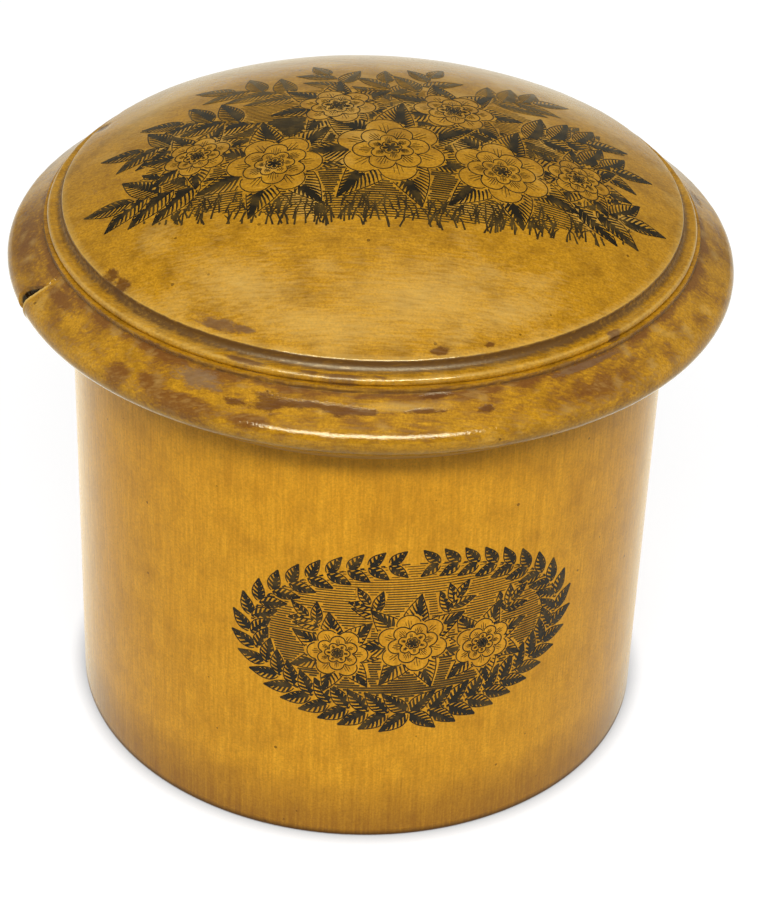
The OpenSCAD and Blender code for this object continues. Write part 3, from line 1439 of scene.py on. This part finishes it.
    def splitting(self, skin: LidSkin) -> tuple[np.ndarray, np.ndarray, np.ndarray]:
        """A sliver lost beside a crack that runs in from the edge, and a lip raised by it.

        Args:
            skin: the lid's surface.

        Returns:
            The shares of the hole, which is painted dark as shade in the crack, and of the lip, and how
            far they move the surface in millimetres.
        """
        (inner_r, inner_turn), (outer_r, outer_turn) = self.split_inner, self.split_outer
        share = (skin.radius - inner_r) / (outer_r - inner_r)
        off = np.radians(skin.azimuth - (inner_turn + share * (outer_turn - inner_turn))) * skin.radius
        width = self.crack_width + self.sliver_width * ramp(share, 0.25, 0.8)
        inside = np.minimum(off + width, 0.08 - off) * (share > 0) * (np.abs(off) < 5)
        hole = ramp(inside, 0.0, 0.16)
        lip = ramp(share, 0.1, 0.4) * ramp(off, 0.06, 0.16) * ramp(-off, -0.6, -0.3)
        depth = self.crack_depth + self.sliver_depth * ramp(share, 0.25, 0.6)
        return hole, lip, self.lip_rise * lip - hole * depth

    def top_print(self) -> Piece:
        """Lay the print on top of the dome.

        Returns:
            The film of ink.
        """
        film_r = self.sphere_r + self.print_lift

        def wrap(point: Point) -> Vector:
            """Drop a point of the drawing straight down on the dome."""
            height = math.sqrt(film_r ** 2 - point[0] ** 2 - point[1] ** 2)
            return Vector((point[0], point[1], self.sphere_z + height))

        piece = LidSpray().draw().lay("top_print", wrap, 2 * self.print_lift)
        piece.data.materials.append(PrintersInk().material())
        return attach(piece, "lid")


@dataclass
class Studio:
    """Plain white floor, soft light and the camera of the photograph, whose eye is in millimetres."""

    eye: tuple[float, float, float] = (0.0, -306.61, 245.584)
    forward: tuple[float, float, float] = (0.00545579, 0.82518224, -0.56484025)
    right: tuple[float, float, float] = (0.99935216, 0.01559486, 0.03243547)
    above: tuple[float, float, float] = (-0.03557377, 0.56465128, 0.82456257)
    lens: float = 107.373
    floor_span: float = 8.0
    floor_colour: str = "9C9C9C"
    mirrored_colour: str = "FFF7DC"
    floor_lift: float = 0.76
    shade_reach: float = 0.0025
    floor_front: float = 0.35
    floor_gloss: float = 0.66
    pool: float = 1.37
    pool_centre: tuple[float, float, float] = (-0.012, 0.07, 0.0)
    pool_inner: float = 0.05
    pool_outer: float = 0.12
    room: float = 0.23
    back: float = 0.18
    sides: float = 0.62
    ceiling: float = 0.46
    lamp_place: tuple[float, float, float] = (0.0, -0.72, 0.78)
    lamp_aim: tuple[float, float, float] = (0.0, 0.0, 0.05)
    lamp_width: float = 0.9

    def build(self) -> None:
        """Set the world, the floor, the lamps and the camera."""
        bpy.context.scene.view_settings.view_transform = "Standard"
        self.world()
        self.floor()
        self.lamp("key", 0.14, 10.0)
        self.lamp("sheen", 0.42, 16.0).visible_diffuse = False
        self.camera()

    def world(self) -> None:
        """Light the scene from a pale room with brighter sides and ceiling, white to the eye."""
        world = bpy.data.worlds.new("pale_room")
        bpy.context.scene.world = world
        node = clear_nodes(world)
        facing = node("TexCoord").outputs["Generated"]
        axes = node("SeparateXYZ", {"Vector": facing})
        aside = node("Math", {0: axes.outputs["X"]}, operation="ABSOLUTE")
        level = self.room
        for toward, low, high, more in (
            (axes.outputs["Z"], 0.78, 0.98, self.ceiling),
            (aside, 0.5, 1.0, self.sides),
            (axes.outputs["Y"], 0.6, 1.0, self.back),
        ):
            side = node(
                "MapRange",
                {"Value": toward, "From Min": low, "From Max": high, "To Max": more},
                interpolation_type="SMOOTHSTEP",
            )
            level = node("Math", {0: level, 1: side}, operation="ADD")
        path = node("LightPath")
        strength = node("Mix", {"Factor": path.outputs["Is Camera Ray"], "A": level, "B": 1.0})
        shade = node("Background", {"Color": self.warmth(node, path), "Strength": strength})
        node("OutputWorld", {"Surface": shade})

    def warmth(self, node: AddNode, path: Node) -> Node:
        """Colour of what surrounds the jar: white to the eye, and warm where the varnish mirrors it.

        Args:
            node: adds a node to the floor or the world.
            path: its light path.

        Returns:
            The node that gives the colour.
        """
        return node(
            "Mix",
            {"Factor": path.outputs["Is Glossy Ray"], "A": hex_colour("FFFFFF"),
             "B": hex_colour(self.mirrored_colour)},
            data_type="RGBA",
        )

    def floor(self) -> None:
        """Lay a white paper floor that keeps a faint shadow round the foot."""
        bpy.ops.object.select_all(action="DESELECT")
        bpy.ops.mesh.primitive_plane_add(size=self.floor_span, location=(0, 0, 0))
        floor = bpy.context.active_object
        floor.name = "paper_floor"
        made = bpy.data.materials.new("paper_matt_white")
        node = clear_nodes(made)
        paper = node("BsdfDiffuse", {"Color": hex_colour(self.floor_colour)})
        path = node("LightPath")

        # The paper just behind the jar lies in a pool of light, which the wall's sides mirror
        place = node("TexCoord").outputs["Object"]
        axes = node("SeparateXYZ", {"Vector": place})
        plain = node(
            "MapRange",
            {"Value": axes.outputs["Y"], "From Min": -0.1, "From Max": 0.02,
             "To Min": self.floor_front, "To Max": self.floor_gloss},
        )
        away = node("VectorMath", {0: place, 1: self.pool_centre}, operation="DISTANCE")
        lit = node(
            "MapRange",
            {"Value": away.outputs["Value"], "From Min": self.pool_outer, "From Max": self.pool_inner,
             "To Min": plain, "To Max": self.pool},
            interpolation_type="SMOOTHSTEP",
        )
        mirrored = node("Math", {0: path.outputs["Is Glossy Ray"], 1: lit}, operation="MULTIPLY")
        # Close round the foot the paper falls into shade
        open_air = node("AmbientOcclusion", {"Distance": self.shade_reach})
        seen = node(
            "Math", {0: path.outputs["Is Camera Ray"], 1: open_air.outputs["AO"]}, operation="MULTIPLY"
        )
        lift = node("Math", {0: seen, 1: self.floor_lift, 2: mirrored}, operation="MULTIPLY_ADD")
        glow = node("Emission", {"Color": self.warmth(node, path), "Strength": lift})
        both = node("AddShader", {0: paper, 1: glow})
        node("OutputMaterial", {"Surface": both})
        floor.data.materials.append(made)

    def lamp(self, name: str, depth: float, watts: float) -> Piece:
        """Hang one soft box that faces the jar.

        Args:
            name: the lamp's name.
            depth: its depth in metres.
            watts: its power.

        Returns:
            The lamp.
        """
        data = bpy.data.lights.new(name, "AREA")
        data.shape = "RECTANGLE"
        data.size, data.size_y = self.lamp_width, depth
        data.energy = watts
        lamp = bpy.data.objects.new(name, data)
        bpy.context.scene.collection.objects.link(lamp)
        aim = (Vector(self.lamp_aim) - Vector(self.lamp_place)).to_track_quat("-Z", "Y")
        lamp.matrix_world = Matrix.Translation(self.lamp_place) @ aim.to_matrix().to_4x4()
        return lamp

    def camera(self) -> None:
        """Place the camera that took the photograph."""
        data = bpy.data.cameras.new("camera")
        data.lens = self.lens
        data.clip_start, data.clip_end = 0.01, 50
        camera = bpy.data.objects.new("camera", data)
        bpy.context.scene.collection.objects.link(camera)
        axes = Matrix((self.right, self.above, [-v for v in self.forward])).transposed()
        camera.matrix_world = Matrix.Translation(Vector(self.eye) * MM) @ axes.to_4x4()
        bpy.context.scene.camera = camera


def main() -> None:
    """Build the jar, the lid and the studio."""
    logging.basicConfig(level=logging.INFO, format="%(message)s")
    Studio().build()
    for part in (Jar(), Lid()):
        for piece in part.build():
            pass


if __name__ == "__main__":
    main()
